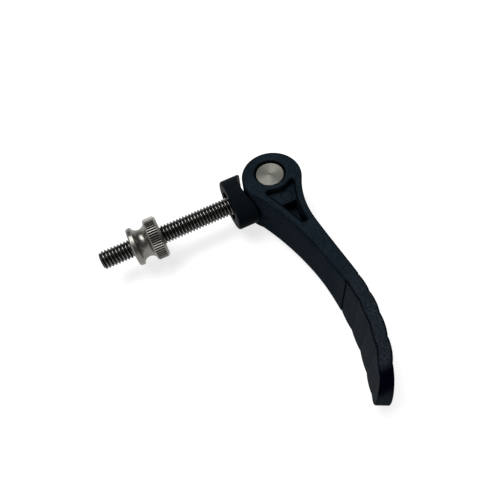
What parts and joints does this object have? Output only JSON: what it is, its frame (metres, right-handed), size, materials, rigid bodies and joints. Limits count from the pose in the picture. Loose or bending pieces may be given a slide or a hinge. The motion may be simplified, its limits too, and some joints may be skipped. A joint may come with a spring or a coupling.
{
  "type": "cam lever",
  "caption": "Quick-release cam lever: curved plastic handle with forked cam, barrel pin, contact plate, threaded stud and knurled nut.",
  "frame": {"origin": "middle of the contact plate's clamping face, on the stud's axis", "axes": "-X along the stud to its free end, -Y along the closed lever to its tip, +Z along the barrel pin, up as the part lies on its side"},
  "size_m": [0.0452, 0.0557, 0.0148],
  "materials": {
    "black_plastic": "fine spark-eroded texture, satin",
    "plate_plastic": "smooth satin",
    "pin_steel": "turned end face",
    "stud_steel": "rolled thread",
    "nut_steel": "turned and knurled"
  },
  "bodies": {
    "stud": {"stud": "stud_steel", "pivot_pin": "pin_steel"},
    "lever": {"lever": "black_plastic"},
    "contact_plate": {"contact_plate": "plate_plastic"},
    "knurled_nut": {"knurled_nut": "nut_steel"}
  },
  "joints": [
    {"name": "lever_turn", "type": "hinge", "parent": "stud", "child": "lever", "pos_m": [0.01, 0, 0], "axis": [0, 0, 1], "range_deg": [0, 90]},
    {"name": "plate_slide", "type": "slide", "parent": "stud", "child": "contact_plate", "axis": [1, 0, 0], "range_m": [0, 0.00091]},
    {"name": "nut_slide", "type": "slide", "parent": "stud", "child": "knurled_nut", "axis": [1, 0, 0], "range_m": [-0.0065, 0.0152]}
  ],
  "couplings": [
    {"joint": "plate_slide", "follows": "lever_turn", "m_per_rad": 0.000573}
  ]
}
